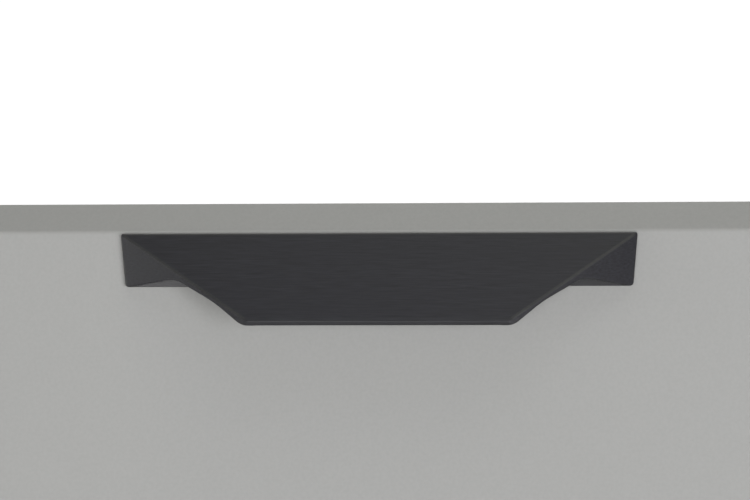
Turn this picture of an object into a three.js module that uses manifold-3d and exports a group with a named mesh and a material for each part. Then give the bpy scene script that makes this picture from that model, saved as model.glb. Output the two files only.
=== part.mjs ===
// Three-drawer dresser: a panel carcass, three full-overlay drawers on ball-bearing runners,
// and a folded wing pull at the top edge of each drawer front.
//
// Millimetres. +X runs along the width, -Y is the front, +Z is up. The origin is on the floor,
// under the middle of the whole object's box.

import * as THREE from 'three';
import { ConvexGeometry } from 'three/addons/geometries/ConvexGeometry.js';
import { mergeVertices } from 'three/addons/utils/BufferGeometryUtils.js';
import Module from 'manifold-3d';

const wasm = await Module();
wasm.setup();

// ---------------------------------------------------------------- driving dimensions

const WIDTH = 1000;
const HEIGHT = 850;
const DEPTH = 500; // from the pulls' front to the carcass's back edge
const PANEL = 19; // lacquered board: carcass and drawer fronts
const FIT = 0.3; // gap left between pieces that touch
const ROUND_SEGMENTS = 24;
const ARC_STEP = 0.2; // largest turn, in radians, between two points of a rounded corner

const DRAWERS = 3;
const FRONT_HEIGHT = 256;
const FRONT_GAP = 3.5; // between one drawer front and the next
const FRONT_REVEAL = 1.5; // each end of a front stops this far inside the carcass's side
const FRONT_BEVEL = 9.67; // 45 degree bevel along a front's upper arris
const FRONT_STANDOFF = 2; // between a closed front and the carcass edge

const PULL = {
  width: 171.7, // over the rear plate's top edge
  plateHeight: 17.8,
  plateThickness: 1.9,
  endTaper: 1.54, // each end leans in by this over the plate's height
  faceDrop: 28.3, // from the top edge down to the face's lower edge
  lipDrop: 29.75, // and down to the lowest point of the lip's cut edge
  lipHalfWidth: 39.2, // half the face's width at that point
  projection: 21.7, // from the rear plate's back to the lip
  wall: 1.56,
  belowBevel: 0.55,
  screwSpacing: 128,
  screwDrop: 8.9,
  bossRadius: 4,
  threadDepth: 4.6,
};

// The pull's silhouette under each wing, from its end inwards: a shallow scoop, then the diagonal
// down to the face's lower corner. Distance in from the end of the top edge, height, corner radius.
const PULL_WING = [
  [3.2, -PULL.plateHeight, 0],
  [19.1, -14.85, 8],
  [32.95, -22.4, 40],
  [42.45, -PULL.lipDrop, 6],
];

// The pull's screws: each head is sunk in a counterbore in the drawer front's back.
const SCREW = {
  radius: 2,
  clearance: 0.3,
  headRadius: 4,
  headHeight: 2.4,
  crownRadius: 2.8,
  crownHeight: 1,
  pointRadius: 1.5,
  pointLength: 0.8,
  sink: 3,
  reach: 4.2,
};

const BACK_PANEL = { thickness: 6, recess: 8, groove: 9 };
const GLIDE = { height: 6, radius: 9, rimRadius: 7.5, rimHeight: 1.5, fromEnd: 45 };
const PLINTH = { recess: 40, height: 71.5 };
const DIVIDER_DEPTH = 80;

const BOX = {
  thickness: 15,
  sideHeight: 180,
  backDrop: 12, // the back is this much lower than the sides
  length: 420,
  aboveFrontEdge: 28, // from a front's lower edge up to the box's underside
  bottomThickness: 6,
  bottomRise: 10,
  groove: 7,
  braceWidth: 60,
  braceThickness: 9,
};

const RUNNER = {
  length: 400,
  setback: 2, // behind the carcass's front edge
  sheet: 1.2,
  centreRise: 62, // above the drawer box's underside
  cabinet: { x: [0.3, 9.8], halfHeight: 22.5 },
  middle: { x: [3.1, 11.0], halfHeight: 19.7, shorter: 2 },
  drawer: { x: [5.5, 13.0], halfHeight: 16.9 },
};

const BRACKET = {
  width: 70,
  height: 34,
  thickness: 2,
  cornerRadius: 5,
  drop: 16, // below the top panel
  holeRadius: 4,
};

// ---------------------------------------------------------------- derived positions

const FRONT_FACE = -DEPTH / 2 + PULL.projection + FIT;
const FRONT_BACK = FRONT_FACE + PANEL;
const CARCASS_FRONT = FRONT_BACK + FRONT_STANDOFF;
const CARCASS_BACK = DEPTH / 2;
const BACK_PANEL_FRONT = CARCASS_BACK - BACK_PANEL.recess - BACK_PANEL.thickness;
const INNER = WIDTH / 2 - PANEL; // half the clear width between the side panels
const SIDE_BOTTOM = GLIDE.height + FIT;
const TOP_UNDERSIDE = HEIGHT - PANEL;
const BOTTOM_UNDERSIDE = SIDE_BOTTOM + PLINTH.height + FIT;
const BOX_HALF = INNER - RUNNER.drawer.x[1] - FIT;
const BOX_INNER = BOX_HALF - BOX.thickness;
const BOX_FRONT = FRONT_BACK + FIT;
const BOX_BACK = FRONT_BACK + BOX.length;
const RUNNER_FRONT = CARCASS_FRONT + RUNNER.setback;

const frontTop = (index) => HEIGHT - index * (FRONT_HEIGHT + FRONT_GAP);
const boxBottom = (index) => frontTop(index) - FRONT_HEIGHT + BOX.aboveFrontEdge;

// ---------------------------------------------------------------- materials

const LOOKS = {
  lacquer: { color: 0xaaaaa8, roughness: 0.55, metalness: 0 },
  backing: { color: 0xb4b3b0, roughness: 0.7, metalness: 0 },
  boxBoard: { color: 0xc4c3bf, roughness: 0.6, metalness: 0 },
  anthracite: { color: 0x38383b, roughness: 0.38, metalness: 0.6 },
  zinc: { color: 0xb9bcc0, roughness: 0.32, metalness: 1 },
  plastic: { color: 0x2c2c2e, roughness: 0.6, metalness: 0 },
};

// ---------------------------------------------------------------- solids

const group = new THREE.Group();

function addMesh(name, look, geometry) {
  const mesh = new THREE.Mesh(geometry, new THREE.MeshStandardMaterial(LOOKS[look]));
  mesh.name = name;
  group.add(mesh);
  return mesh;
}

// A box from its ranges along X, Y and Z.
function block(x, y, z) {
  const geometry = new THREE.BoxGeometry(x[1] - x[0], y[1] - y[0], z[1] - z[0]);
  return geometry.translate((x[0] + x[1]) / 2, (y[0] + y[1]) / 2, (z[0] + z[1]) / 2);
}

function extrude(points, length) {
  const outline = new THREE.Shape(points.map(([u, v]) => new THREE.Vector2(u, v)));
  return new THREE.ExtrudeGeometry(outline, { depth: length, bevelEnabled: false });
}

// Outline in (Y, Z), extruded along X.
function prismAlongX(points, x) {
  const turn = new THREE.Matrix4().makeBasis(
    new THREE.Vector3(0, 1, 0),
    new THREE.Vector3(0, 0, 1),
    new THREE.Vector3(1, 0, 0),
  );
  return extrude(points, x[1] - x[0]).applyMatrix4(turn).translate(x[0], 0, 0);
}

// Outline in (X, Z), extruded along Y.
function prismAlongY(points, y) {
  return extrude(points, y[1] - y[0]).rotateX(Math.PI / 2).translate(0, y[1], 0);
}

// Outline in (X, Y), extruded along Z.
function prismAlongZ(points, z) {
  return extrude(points, z[1] - z[0]).translate(0, 0, z[0]);
}

// A round bar along Y.
function barAlongY(radius, x, y, z) {
  const bar = new THREE.CylinderGeometry(radius, radius, y[1] - y[0], ROUND_SEGMENTS);
  return bar.translate(x, (y[0] + y[1]) / 2, z);
}

function toManifold(geometry) {
  const bare = geometry.clone();
  bare.deleteAttribute('normal');
  bare.deleteAttribute('uv');
  const merged = mergeVertices(bare, 1e-4);
  return new wasm.Manifold(new wasm.Mesh({
    numProp: 3,
    vertProperties: new Float32Array(merged.attributes.position.array),
    triVerts: new Uint32Array(merged.index.array),
  }));
}

function toGeometry(solid) {
  const mesh = solid.getMesh();
  const geometry = new THREE.BufferGeometry();
  geometry.setAttribute('position', new THREE.BufferAttribute(new Float32Array(mesh.vertProperties), 3));
  geometry.setIndex(new THREE.BufferAttribute(new Uint32Array(mesh.triVerts), 1));
  geometry.computeVertexNormals();
  return geometry;
}

function cut(geometry, tools) {
  const solid = tools.reduce((rest, tool) => rest.subtract(toManifold(tool)), toManifold(geometry));
  return toGeometry(solid);
}

// A closed outline of [u, v, radius] corners with an arc of that radius at each one.
function roundCorners(corners) {
  const points = [];
  corners.forEach(([u, v, radius], i) => {
    if (!radius) {
      points.push([u, v]);
      return;
    }
    const corner = new THREE.Vector2(u, v);
    const before = corners[(i + corners.length - 1) % corners.length];
    const after = corners[(i + 1) % corners.length];
    const back = new THREE.Vector2(before[0] - u, before[1] - v).normalize();
    const on = new THREE.Vector2(after[0] - u, after[1] - v).normalize();
    const halfAngle = Math.acos(THREE.MathUtils.clamp(back.dot(on), -1, 1)) / 2;
    const toTangent = radius / Math.tan(halfAngle);
    const toCentre = radius / Math.sin(halfAngle);
    const centre = back.clone().add(on).normalize().multiplyScalar(toCentre).add(corner);
    const start = back.clone().multiplyScalar(toTangent).add(corner).sub(centre);
    const turn = (Math.PI - 2 * halfAngle) * Math.sign(on.cross(back));
    const steps = Math.max(2, Math.ceil(Math.abs(turn) / ARC_STEP));
    for (let k = 0; k <= steps; k += 1) {
      const point = start.clone().rotateAround(new THREE.Vector2(), (turn * k) / steps).add(centre);
      points.push([point.x, point.y]);
    }
  });
  return points;
}

// ---------------------------------------------------------------- carcass

function sidePanel(side) {
  const outer = side * WIDTH / 2;
  const inner = side * INNER;
  const grooveFloor = side * (INNER + BACK_PANEL.groove);
  const grooveFront = BACK_PANEL_FRONT - FIT;
  const grooveBack = CARCASS_BACK - BACK_PANEL.recess + FIT;
  const plan = [
    [outer, CARCASS_FRONT],
    [inner, CARCASS_FRONT],
    [inner, grooveFront],
    [grooveFloor, grooveFront],
    [grooveFloor, grooveBack],
    [inner, grooveBack],
    [inner, CARCASS_BACK],
    [outer, CARCASS_BACK],
  ];
  return prismAlongZ(plan, [SIDE_BOTTOM, TOP_UNDERSIDE - FIT]);
}

function glide(side, y) {
  const profile = [
    [0, 0],
    [GLIDE.rimRadius, 0],
    [GLIDE.radius, GLIDE.rimHeight],
    [GLIDE.radius, GLIDE.height],
    [0, GLIDE.height],
  ].map(([r, z]) => new THREE.Vector2(r, z));
  const x = side * (WIDTH / 2 - PANEL / 2);
  return new THREE.LatheGeometry(profile, ROUND_SEGMENTS).rotateX(Math.PI / 2).translate(x, y, 0);
}

// A C-section runner member; `open` is the side of its flanges' free edges.
function runnerMember(side, profile, webAt, y, centreZ) {
  const [near, far] = profile.x;
  const h = profile.halfHeight;
  const t = RUNNER.sheet;
  const web = webAt === 'cabinet' ? near : far;
  const tip = webAt === 'cabinet' ? far : near;
  const webInside = web + t * Math.sign(tip - web);
  const section = [
    [web, -h],
    [tip, -h],
    [tip, -h + t],
    [webInside, -h + t],
    [webInside, h - t],
    [tip, h - t],
    [tip, h],
    [web, h],
  ].map(([fromWall, z]) => [side * (INNER - fromWall), centreZ + z]);
  return prismAlongY(section, y);
}

function wallBracket() {
  const front = CARCASS_BACK - BACK_PANEL.recess + FIT;
  const y = [front, front + BRACKET.thickness];
  const top = TOP_UNDERSIDE - BRACKET.drop;
  const half = BRACKET.width / 2;
  const outline = roundCorners([
    [-half, top - BRACKET.height, BRACKET.cornerRadius],
    [half, top - BRACKET.height, BRACKET.cornerRadius],
    [half, top, BRACKET.cornerRadius],
    [-half, top, BRACKET.cornerRadius],
  ]);
  const hole = barAlongY(BRACKET.holeRadius, 0, [y[0] - 1, y[1] + 1], top - BRACKET.height / 2);
  return cut(prismAlongY(outline, y), [hole]);
}

function addCarcass() {
  const between = [-INNER + FIT, INNER - FIT];
  const bottomZ = [BOTTOM_UNDERSIDE, BOTTOM_UNDERSIDE + PANEL];
  const plinthZ = [SIDE_BOTTOM, SIDE_BOTTOM + PLINTH.height];
  const plinthFront = CARCASS_FRONT + PLINTH.recess;
  const panelBack = BACK_PANEL_FRONT - FIT;

  addMesh('side_panel_left', 'lacquer', sidePanel(-1));
  addMesh('side_panel_right', 'lacquer', sidePanel(1));
  addMesh('top_panel', 'lacquer', block(
    [-WIDTH / 2, WIDTH / 2],
    [CARCASS_FRONT, CARCASS_BACK],
    [TOP_UNDERSIDE, HEIGHT],
  ));
  addMesh('bottom_panel', 'lacquer', block(between, [CARCASS_FRONT, panelBack], bottomZ));
  addMesh('back_panel', 'backing', block(
    [-INNER - BACK_PANEL.groove + FIT, INNER + BACK_PANEL.groove - FIT],
    [BACK_PANEL_FRONT, BACK_PANEL_FRONT + BACK_PANEL.thickness],
    [BOTTOM_UNDERSIDE, TOP_UNDERSIDE - FIT],
  ));
  addMesh('plinth_rail_front', 'lacquer', block(between, [plinthFront, plinthFront + PANEL], plinthZ));
  addMesh('plinth_rail_rear', 'lacquer', block(between, [panelBack - PANEL, panelBack], plinthZ));

  for (const [name, index] of [['upper', 0], ['lower', 1]]) {
    const middle = frontTop(index) - FRONT_HEIGHT - FRONT_GAP / 2;
    addMesh(`divider_rail_${name}`, 'lacquer', block(
      between,
      [CARCASS_FRONT, CARCASS_FRONT + DIVIDER_DEPTH],
      [middle - PANEL / 2, middle + PANEL / 2],
    ));
  }

  for (const [sideName, side] of [['left', -1], ['right', 1]]) {
    addMesh(`glide_front_${sideName}`, 'plastic', glide(side, CARCASS_FRONT + GLIDE.fromEnd));
    addMesh(`glide_rear_${sideName}`, 'plastic', glide(side, CARCASS_BACK - GLIDE.fromEnd));
  }
  addMesh('wall_bracket', 'zinc', wallBracket());
}

// ---------------------------------------------------------------- pull

// The pull's own frame: the origin is at the middle of its top edge, on the rear plate's back;
// -Y points out of the drawer front and Z is negative below the top edge.

const PULL_SLOPE = {
  end: PULL.endTaper / PULL.plateHeight,
  fold: (PULL.width / 2 - PULL.lipHalfWidth) / PULL.lipDrop,
  face: (PULL.projection - PULL.plateThickness) / PULL.faceDrop,
};

// Corners of the pull's outer planes at a distance below the top edge.
function pullSection(drop) {
  return {
    endX: PULL.width / 2 - PULL_SLOPE.end * drop,
    foldX: PULL.width / 2 - PULL_SLOPE.fold * drop,
    faceY: -PULL.plateThickness - PULL_SLOPE.face * drop,
  };
}

// How far a corner of the outer planes moves in and down to leave the wall's thickness.
function wallInset() {
  const endEdge = new THREE.Vector3(-PULL_SLOPE.end, 0, -1);
  const foldEdge = new THREE.Vector3(-PULL_SLOPE.fold, -PULL_SLOPE.face, -1);
  const facet = endEdge.clone().cross(foldEdge).normalize();
  const face = new THREE.Vector3(0, -1, PULL_SLOPE.face).normalize();
  const down = PULL.wall / face.z;
  const inwards = (PULL.wall + Math.abs(facet.z) * down) / Math.abs(facet.x);
  return { x: inwards, z: down };
}

// The pull's silhouette from the front, with room to spare past its ends and its top edge.
function pullSilhouette() {
  const half = PULL.width / 2;
  const spare = 5;
  const wing = [[-spare, spare, 0], [-spare, -PULL.plateHeight, 0], ...PULL_WING];
  const left = wing.map(([u, z, radius]) => [u - half, z, radius]);
  const right = wing.map(([u, z, radius]) => [half - u, z, radius]).reverse();
  return roundCorners([...left, ...right]);
}

function pullGeometry() {
  const reach = 1.2 * PULL.lipDrop; // the planes run on past the lip, and the silhouette ends them
  const low = pullSection(reach);
  const half = PULL.width / 2;
  const t = PULL.plateThickness;
  const inset = wallInset();
  const bothSides = (x, y, z) => [new THREE.Vector3(-x, y, z), new THREE.Vector3(x, y, z)];

  const envelope = new ConvexGeometry([
    ...bothSides(half, 0, 0),
    ...bothSides(half, -t, 0),
    ...bothSides(low.endX, 0, -reach),
    ...bothSides(low.endX, -t, -reach),
    ...bothSides(low.foldX, low.faceY, -reach),
  ]);
  const hollow = new ConvexGeometry([
    ...bothSides(half - inset.x, -t, -inset.z),
    ...bothSides(low.endX - inset.x, -t, -inset.z - reach),
    ...bothSides(low.foldX - inset.x, low.faceY, -inset.z - reach),
  ]);
  const belowPlate = block([-half, half], [-t - FIT, 1], [-2 * reach, -PULL.plateHeight]);
  const lipCut = block([-half - 1, half + 1], [-PULL.projection, 1], [-2 * reach, 1]);
  const outer = toManifold(envelope).intersect(toManifold(lipCut));
  const silhouette = toManifold(prismAlongY(pullSilhouette(), [-2 * PULL.projection, 1]));
  const plate = outer.intersect(toManifold(block([-half, half], [-t, 1], [-PULL.plateHeight, 1])));

  let pull = outer.subtract(toManifold(hollow));
  pull = pull.subtract(toManifold(belowPlate)).intersect(silhouette).add(plate);
  for (const x of [-PULL.screwSpacing / 2, PULL.screwSpacing / 2]) {
    const boss = barAlongY(PULL.bossRadius, x, [-PULL.projection, 0], -PULL.screwDrop);
    const bore = barAlongY(SCREW.radius + SCREW.clearance, x, [-PULL.threadDepth, 1], -PULL.screwDrop);
    pull = pull.add(toManifold(boss).intersect(outer)).subtract(toManifold(bore));
  }
  return toGeometry(pull);
}

// Pan-head machine screw along Y: the head is in the front's counterbore, the tip in the pull's boss.
function pullScrew(x, z) {
  const seat = FRONT_BACK - SCREW.sink + FIT;
  const tip = FRONT_FACE - SCREW.reach;
  const profile = [
    [0, tip],
    [SCREW.pointRadius, tip],
    [SCREW.radius, tip + SCREW.pointLength],
    [SCREW.radius, seat],
    [SCREW.headRadius, seat],
    [SCREW.headRadius, seat + SCREW.headHeight - SCREW.crownHeight],
    [SCREW.crownRadius, seat + SCREW.headHeight],
    [0, seat + SCREW.headHeight],
  ].map(([r, y]) => new THREE.Vector2(r, y));
  return new THREE.LatheGeometry(profile, ROUND_SEGMENTS).translate(x, 0, z);
}

// ---------------------------------------------------------------- drawers

function drawerFront(index) {
  const top = frontTop(index);
  const section = [
    [FRONT_FACE, top - FRONT_HEIGHT],
    [FRONT_BACK, top - FRONT_HEIGHT],
    [FRONT_BACK, top],
    [FRONT_FACE + FRONT_BEVEL, top],
    [FRONT_FACE, top - FRONT_BEVEL],
  ];
  const half = WIDTH / 2 - FRONT_REVEAL;
  const grooveZ = boxBottom(index) + BOX.bottomRise;
  const groove = block(
    [-BOX_INNER - BOX.groove, BOX_INNER + BOX.groove],
    [FRONT_BACK - BOX.groove, FRONT_BACK + 1],
    [grooveZ - FIT, grooveZ + BOX.bottomThickness + FIT],
  );
  const holes = [-1, 1].flatMap((side) => {
    const x = side * PULL.screwSpacing / 2;
    const z = pullTop(index) - PULL.screwDrop;
    return [
      barAlongY(SCREW.radius + SCREW.clearance, x, [FRONT_FACE - 1, FRONT_BACK + 1], z),
      barAlongY(SCREW.headRadius + 2 * SCREW.clearance, x, [FRONT_BACK - SCREW.sink, FRONT_BACK + 1], z),
    ];
  });
  return cut(prismAlongX(section, [-half, half]), [groove, ...holes]);
}

function pullTop(index) {
  return frontTop(index) - FRONT_BEVEL - PULL.belowBevel;
}

function drawerSide(side, base) {
  const grooveZ = base + BOX.bottomRise;
  const grooveX = BOX_INNER + BOX.groove;
  const section = [
    [BOX_HALF, base],
    [BOX_INNER, base],
    [BOX_INNER, grooveZ - FIT],
    [grooveX, grooveZ - FIT],
    [grooveX, grooveZ + BOX.bottomThickness + FIT],
    [BOX_INNER, grooveZ + BOX.bottomThickness + FIT],
    [BOX_INNER, base + BOX.sideHeight],
    [BOX_HALF, base + BOX.sideHeight],
  ].map(([x, z]) => [side * x, z]);
  return prismAlongY(section, [BOX_FRONT, BOX_BACK]);
}

function addDrawer(index) {
  const number = index + 1;
  const base = boxBottom(index);
  const bottomTop = base + BOX.bottomRise + BOX.bottomThickness;
  const runnerZ = base + RUNNER.centreRise;
  const screwZ = pullTop(index) - PULL.screwDrop;
  const fullLength = [RUNNER_FRONT, RUNNER_FRONT + RUNNER.length];
  const middleLength = [fullLength[0] + RUNNER.middle.shorter, fullLength[1] - RUNNER.middle.shorter];

  addMesh(`drawer_front_${number}`, 'lacquer', drawerFront(index));
  const pull = addMesh(`handle_${number}`, 'anthracite', pullGeometry());
  pull.position.set(0, FRONT_FACE - FIT, pullTop(index));

  addMesh(`drawer_bottom_${number}`, 'boxBoard', block(
    [-BOX_INNER - BOX.groove + FIT, BOX_INNER + BOX.groove - FIT],
    [FRONT_BACK - BOX.groove + FIT, BOX_BACK],
    [base + BOX.bottomRise, bottomTop],
  ));
  addMesh(`drawer_back_${number}`, 'boxBoard', block(
    [-BOX_INNER + FIT, BOX_INNER - FIT],
    [BOX_BACK - BOX.thickness, BOX_BACK],
    [bottomTop + FIT, base + BOX.sideHeight - BOX.backDrop],
  ));
  addMesh(`drawer_brace_${number}`, 'boxBoard', block(
    [-BOX.braceWidth / 2, BOX.braceWidth / 2],
    [BOX_FRONT, BOX_BACK],
    [base + BOX.bottomRise - FIT - BOX.braceThickness, base + BOX.bottomRise - FIT],
  ));

  for (const [sideName, side] of [['left', -1], ['right', 1]]) {
    const { cabinet, middle, drawer } = RUNNER;
    addMesh(`handle_screw_${number}_${sideName}`, 'zinc', pullScrew(side * PULL.screwSpacing / 2, screwZ));
    addMesh(`drawer_side_${number}_${sideName}`, 'boxBoard', drawerSide(side, base));
    addMesh(`runner_cabinet_${number}_${sideName}`, 'zinc',
      runnerMember(side, cabinet, 'cabinet', fullLength, runnerZ));
    addMesh(`runner_middle_${number}_${sideName}`, 'zinc',
      runnerMember(side, middle, 'cabinet', middleLength, runnerZ));
    addMesh(`runner_drawer_${number}_${sideName}`, 'zinc',
      runnerMember(side, drawer, 'drawer', fullLength, runnerZ));
  }
}

addCarcass();
for (let index = 0; index < DRAWERS; index += 1) {
  addDrawer(index);
}

export default group;
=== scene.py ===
"""Looks for a three-drawer dresser in light grey matte lacquer with folded wing pulls.

Everything is in metres in the CAD model's frame: +X along the width, -Y out of the drawer fronts, +Z up.
"""
import math

import bmesh
import bpy
import numpy as np
from mathutils import Matrix, Vector


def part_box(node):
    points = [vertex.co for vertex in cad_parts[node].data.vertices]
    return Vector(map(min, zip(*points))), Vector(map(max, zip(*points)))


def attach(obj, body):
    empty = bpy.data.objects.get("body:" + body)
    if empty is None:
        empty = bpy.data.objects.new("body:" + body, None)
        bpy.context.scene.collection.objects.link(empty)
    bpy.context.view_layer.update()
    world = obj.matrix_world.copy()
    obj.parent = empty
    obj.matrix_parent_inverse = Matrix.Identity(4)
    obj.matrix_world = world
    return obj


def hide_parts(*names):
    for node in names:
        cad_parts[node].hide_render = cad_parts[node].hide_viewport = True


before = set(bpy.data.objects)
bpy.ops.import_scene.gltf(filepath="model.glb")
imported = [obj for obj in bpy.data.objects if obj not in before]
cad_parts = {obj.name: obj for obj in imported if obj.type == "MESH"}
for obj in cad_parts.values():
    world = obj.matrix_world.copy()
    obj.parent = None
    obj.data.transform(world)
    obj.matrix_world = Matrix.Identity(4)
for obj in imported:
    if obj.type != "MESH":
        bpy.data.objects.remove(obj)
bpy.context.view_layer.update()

MM = 0.001
DRAWERS = (1, 2, 3)
SIDES = (("left", -1), ("right", 1))


# ------------------------------------------------------------------ node material helpers

class Shader:
    """A short way to write a material's nodes: every method adds one node and returns an output."""

    def __init__(self, name):
        self.material = bpy.data.materials.new(name)
        self.material.use_nodes = True
        self.tree = self.material.node_tree
        self.bsdf = self.tree.nodes["Principled BSDF"]
        self.coordinates = self.tree.nodes.new("ShaderNodeTexCoord").outputs["Object"]

    def link(self, value, socket):
        if isinstance(value, bpy.types.NodeSocket):
            self.tree.links.new(value, socket)
        else:
            socket.default_value = value

    def stretched(self, scale):
        """Object coordinates, in metres, multiplied by scale along each axis."""
        node = self.tree.nodes.new("ShaderNodeMapping")
        self.tree.links.new(self.coordinates, node.inputs["Vector"])
        node.inputs["Scale"].default_value = scale
        return node.outputs["Vector"]

    def noise(self, vector, scale, detail=3.0, roughness=0.5):
        node = self.tree.nodes.new("ShaderNodeTexNoise")
        self.tree.links.new(vector, node.inputs["Vector"])
        node.inputs["Scale"].default_value = scale
        node.inputs["Detail"].default_value = detail
        node.inputs["Roughness"].default_value = roughness
        return node.outputs["Fac"]

    def math(self, operation, a, b=0.0):
        node = self.tree.nodes.new("ShaderNodeMath")
        node.operation = operation
        self.link(a, node.inputs[0])
        self.link(b, node.inputs[1])
        return node.outputs[0]

    def span(self, value, low, high, start=0.0, stop=1.0):
        """value, from start to stop, moved to the range low to high."""
        node = self.tree.nodes.new("ShaderNodeMapRange")
        self.tree.links.new(value, node.inputs["Value"])
        node.inputs["From Min"].default_value = start
        node.inputs["From Max"].default_value = stop
        node.inputs["To Min"].default_value = low
        node.inputs["To Max"].default_value = high
        return node.outputs["Result"]

    def mix(self, factor, a, b):
        node = self.tree.nodes.new("ShaderNodeMix")
        node.data_type = "RGBA"
        self.link(factor, node.inputs["Factor"])
        self.link(a if isinstance(a, bpy.types.NodeSocket) else (*a, 1.0), node.inputs["A"])
        self.link(b if isinstance(b, bpy.types.NodeSocket) else (*b, 1.0), node.inputs["B"])
        return node.outputs["Result"]

    def attribute(self, name):
        node = self.tree.nodes.new("ShaderNodeAttribute")
        node.attribute_name = name
        return node.outputs["Fac"]

    def bump(self, height, distance, strength=1.0, after=None):
        node = self.tree.nodes.new("ShaderNodeBump")
        node.inputs["Strength"].default_value = strength
        node.inputs["Distance"].default_value = distance
        self.tree.links.new(height, node.inputs["Height"])
        if after is not None:
            self.tree.links.new(after, node.inputs["Normal"])
        return node.outputs["Normal"]

    def set(self, **values):
        """Sets the surface's inputs, with _ for a space in a name, and returns the material."""
        for key, value in values.items():
            self.link(value, self.bsdf.inputs[key.replace("_", " ")])
        return self.material


def scaled(color, factor):
    return tuple(channel * factor for channel in color)


def lacquer(name, color, roughness):
    """Sprayed matte lacquer: almost even, with a faint cloud, a fine grain and softly polished arrises."""
    s = Shader(name)
    cloud = s.noise(s.coordinates, 5.0, 2.0)
    grain = s.noise(s.coordinates, 900.0, 2.0)
    peel = s.noise(s.coordinates, 330.0, 2.0, 0.4)
    tone = s.mix(s.span(cloud, 0.0, 1.0, 0.3, 0.7), scaled(color, 0.985), scaled(color, 1.015))
    tone = s.mix(s.span(grain, 0.0, 0.5, 0.35, 0.7), tone, scaled(color, 0.915))
    tone = s.mix(s.span(s.attribute("edge"), 0.0, 0.35), tone, scaled(color, 1.10))
    gloss = s.math("ADD", s.span(cloud, roughness - 0.02, roughness + 0.02, 0.3, 0.7),
                   s.span(s.attribute("edge"), 0.0, -0.08))
    normal = s.bump(peel, 0.00005, 0.25)
    normal = s.bump(grain, 0.00002, 0.35, normal)
    return s.set(Base_Color=tone, Roughness=gloss, Normal=normal, Specular_IOR_Level=0.4)


def brushed_anthracite(name, color, highlight_tone):
    """Dark anodised metal, finely brushed along X, with a painted highlight: lighter colour on its folds
    and edges where the edge attribute is high.
    """
    s = Shader(name)
    lines = s.noise(s.stretched((120.0, 2000.0, 2000.0)), 1.0, 2.0, 0.6)
    bands = s.noise(s.stretched((3.0, 420.0, 420.0)), 1.0, 2.0)
    cloud = s.noise(s.coordinates, 22.0, 3.0)
    tone = s.mix(s.span(lines, 0.0, 1.0, 0.25, 0.75), scaled(color, 0.48), scaled(color, 1.52))
    tone = s.mix(s.span(bands, 0.0, 0.5, 0.35, 0.7), tone, scaled(color, 0.9))
    tone = s.mix(s.span(cloud, 0.0, 0.25, 0.4, 0.7), tone, scaled(color, 1.2))
    # Painted highlight: the pull's folds, lip and plate front are painted lighter where the edge attribute
    # is high.
    tone = s.mix(s.span(s.attribute("edge"), 0.0, 0.9), tone, highlight_tone)
    gloss = s.math("ADD", s.span(lines, 0.32, 0.40, 0.25, 0.75), s.span(cloud, -0.02, 0.02, 0.3, 0.7))
    normal = s.bump(lines, 0.00002, 0.35)
    return s.set(Base_Color=tone, Metallic=0.0, Roughness=gloss, Normal=normal, Specular_IOR_Level=0.39)


def melamine(name, color):
    """Pale printed board with a faint woven relief."""
    s = Shader(name)
    warp = s.noise(s.stretched((1500.0, 1500.0, 60.0)), 1.0, 2.0)
    weft = s.noise(s.stretched((60.0, 60.0, 1500.0)), 1.0, 2.0)
    weave = s.math("MULTIPLY", warp, weft)
    cloud = s.noise(s.coordinates, 9.0, 3.0)
    tone = s.mix(s.span(weave, 0.0, 1.0, 0.15, 0.4), scaled(color, 0.94), scaled(color, 1.03))
    tone = s.mix(s.span(cloud, 0.0, 0.3, 0.35, 0.7), tone, scaled(color, 0.95))
    tone = s.mix(s.span(s.attribute("edge"), 0.0, 0.4), tone, scaled(color, 1.12))
    normal = s.bump(weave, 0.00006, 0.35)
    return s.set(Base_Color=tone, Roughness=s.span(weave, 0.48, 0.6, 0.15, 0.4), Normal=normal,
                 Specular_IOR_Level=0.4)


def hardboard(name, color):
    """Painted hardboard: short fibres under a thin coat."""
    s = Shader(name)
    fibre = s.noise(s.stretched((900.0, 900.0, 300.0)), 1.0, 4.0, 0.6)
    cloud = s.noise(s.coordinates, 7.0, 4.0)
    tone = s.mix(s.span(fibre, 0.0, 1.0, 0.3, 0.7), scaled(color, 0.93), scaled(color, 1.05))
    tone = s.mix(s.span(cloud, 0.0, 0.4, 0.35, 0.7), tone, scaled(color, 0.93))
    normal = s.bump(fibre, 0.00008, 0.4)
    return s.set(Base_Color=tone, Roughness=s.span(fibre, 0.62, 0.78, 0.3, 0.7), Normal=normal)


def zinc(name, color):
    """Bright zinc plate: fine rolling lines, a soft mottle and rubbed edges."""
    s = Shader(name)
    rolled = s.noise(s.stretched((1800.0, 30.0, 1800.0)), 1.0, 3.0)
    mottle = s.noise(s.coordinates, 160.0, 4.0, 0.6)
    tone = s.mix(s.span(mottle, 0.0, 1.0, 0.3, 0.7), scaled(color, 0.88), scaled(color, 1.06))
    tone = s.mix(s.span(s.attribute("edge"), 0.0, 0.5), tone, scaled(color, 1.2))
    gloss = s.math("ADD", s.span(mottle, 0.30, 0.37, 0.3, 0.7), s.span(rolled, -0.04, 0.04, 0.3, 0.7))
    normal = s.bump(rolled, 0.00002, 0.3)
    return s.set(Base_Color=tone, Metallic=1.0, Roughness=gloss, Normal=normal)


def moulded(name, color, roughness=0.5):
    """Moulded plastic with a fine spark-eroded texture."""
    s = Shader(name)
    texture = s.noise(s.coordinates, 1600.0, 2.0)
    cloud = s.noise(s.coordinates, 60.0, 2.0)
    tone = s.mix(s.span(cloud, 0.0, 1.0, 0.3, 0.7), scaled(color, 0.9), scaled(color, 1.1))
    tone = s.mix(s.span(s.attribute("edge"), 0.0, 0.5), tone, scaled(color, 1.5))
    normal = s.bump(texture, 0.00004, 0.4)
    return s.set(Base_Color=tone, Roughness=s.span(texture, roughness - 0.05, roughness + 0.05, 0.3, 0.7),
                 Normal=normal)


FADE_START = 1.4          # how far from the object's middle the floor begins to fade
FADE_END = 3.6


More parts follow.
